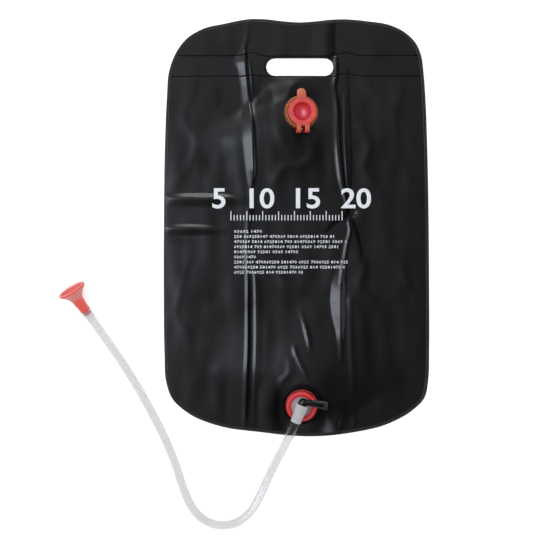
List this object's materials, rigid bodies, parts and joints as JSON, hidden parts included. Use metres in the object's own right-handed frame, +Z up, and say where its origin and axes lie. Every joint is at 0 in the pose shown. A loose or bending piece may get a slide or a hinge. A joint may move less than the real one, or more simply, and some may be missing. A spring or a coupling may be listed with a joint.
{
  "type": "camp shower bag",
  "caption": "Drained film shower bag laid flat, with a hand slot, a screw filler with a hinged cap, a tap under a ring nut, a clear hose and a shower head.",
  "frame": {"origin": "middle of the bag on the surface that it lies on", "axes": "+Z up out of the front film, +Y towards the hand slot, +X to the right as the front is seen"},
  "size_m": [0.554, 0.7646, 0.0427],
  "materials": {
    "film": "glossy black film",
    "black_moulded": "satin black",
    "seal": "soft matte",
    "amber": "glossy, slightly see-through",
    "coral": "glossy, slightly see-through",
    "red": "glossy, slightly see-through",
    "milky": "milky, satin",
    "clear_hose": "clear and glossy"
  },
  "bodies": {
    "root": {"back_panel": "film", "front_panel": "film", "filler_base": "black_moulded", "outlet_base": "black_moulded", "outlet_gasket": "seal", "tap_body": "milky", "hose": "clear_hose", "head_body": "coral", "head_rose": "coral"},
    "seal": {"filler_seal": "seal"},
    "collar": {"filler_collar": "amber"},
    "cap": {"filler_cap": "coral"},
    "nut": {"outlet_nut": "red"},
    "lever": {"tap_lever": "black_moulded"}
  },
  "joints": [
    {"name": "collar_lift", "type": "slide", "parent": "root", "child": "seal", "axis": [0.1652, 0.0954, 0.9816], "range_m": [0, 0.0076]},
    {"name": "collar_turn", "type": "hinge", "parent": "seal", "child": "collar", "pos_m": [0.0065, 0.172, 0.00684], "axis": [0.1652, 0.0954, 0.9816], "range_deg": [0, 1080]},
    {"name": "cap_hinge", "type": "hinge", "parent": "collar", "child": "cap", "pos_m": [0.00885, 0.14366, 0.0146], "axis": [0.9849, 0.0355, -0.1692], "range_deg": [0, 135]},
    {"name": "nut_turn", "type": "hinge", "parent": "root", "child": "nut", "pos_m": [0.0078, -0.2652, 0.00767], "axis": [-0.0684, -0.1781, 0.9816], "continuous": true},
    {"name": "tap_turn", "type": "hinge", "parent": "root", "child": "lever", "pos_m": [0.00616, -0.26948, 0.03122], "axis": [-0.3518, -0.9164, -0.1908], "range_deg": [0, 90]}
  ],
  "couplings": [
    {"joint": "collar_lift", "follows": "collar_turn", "m_per_rad": 0.00039789}
  ]
}
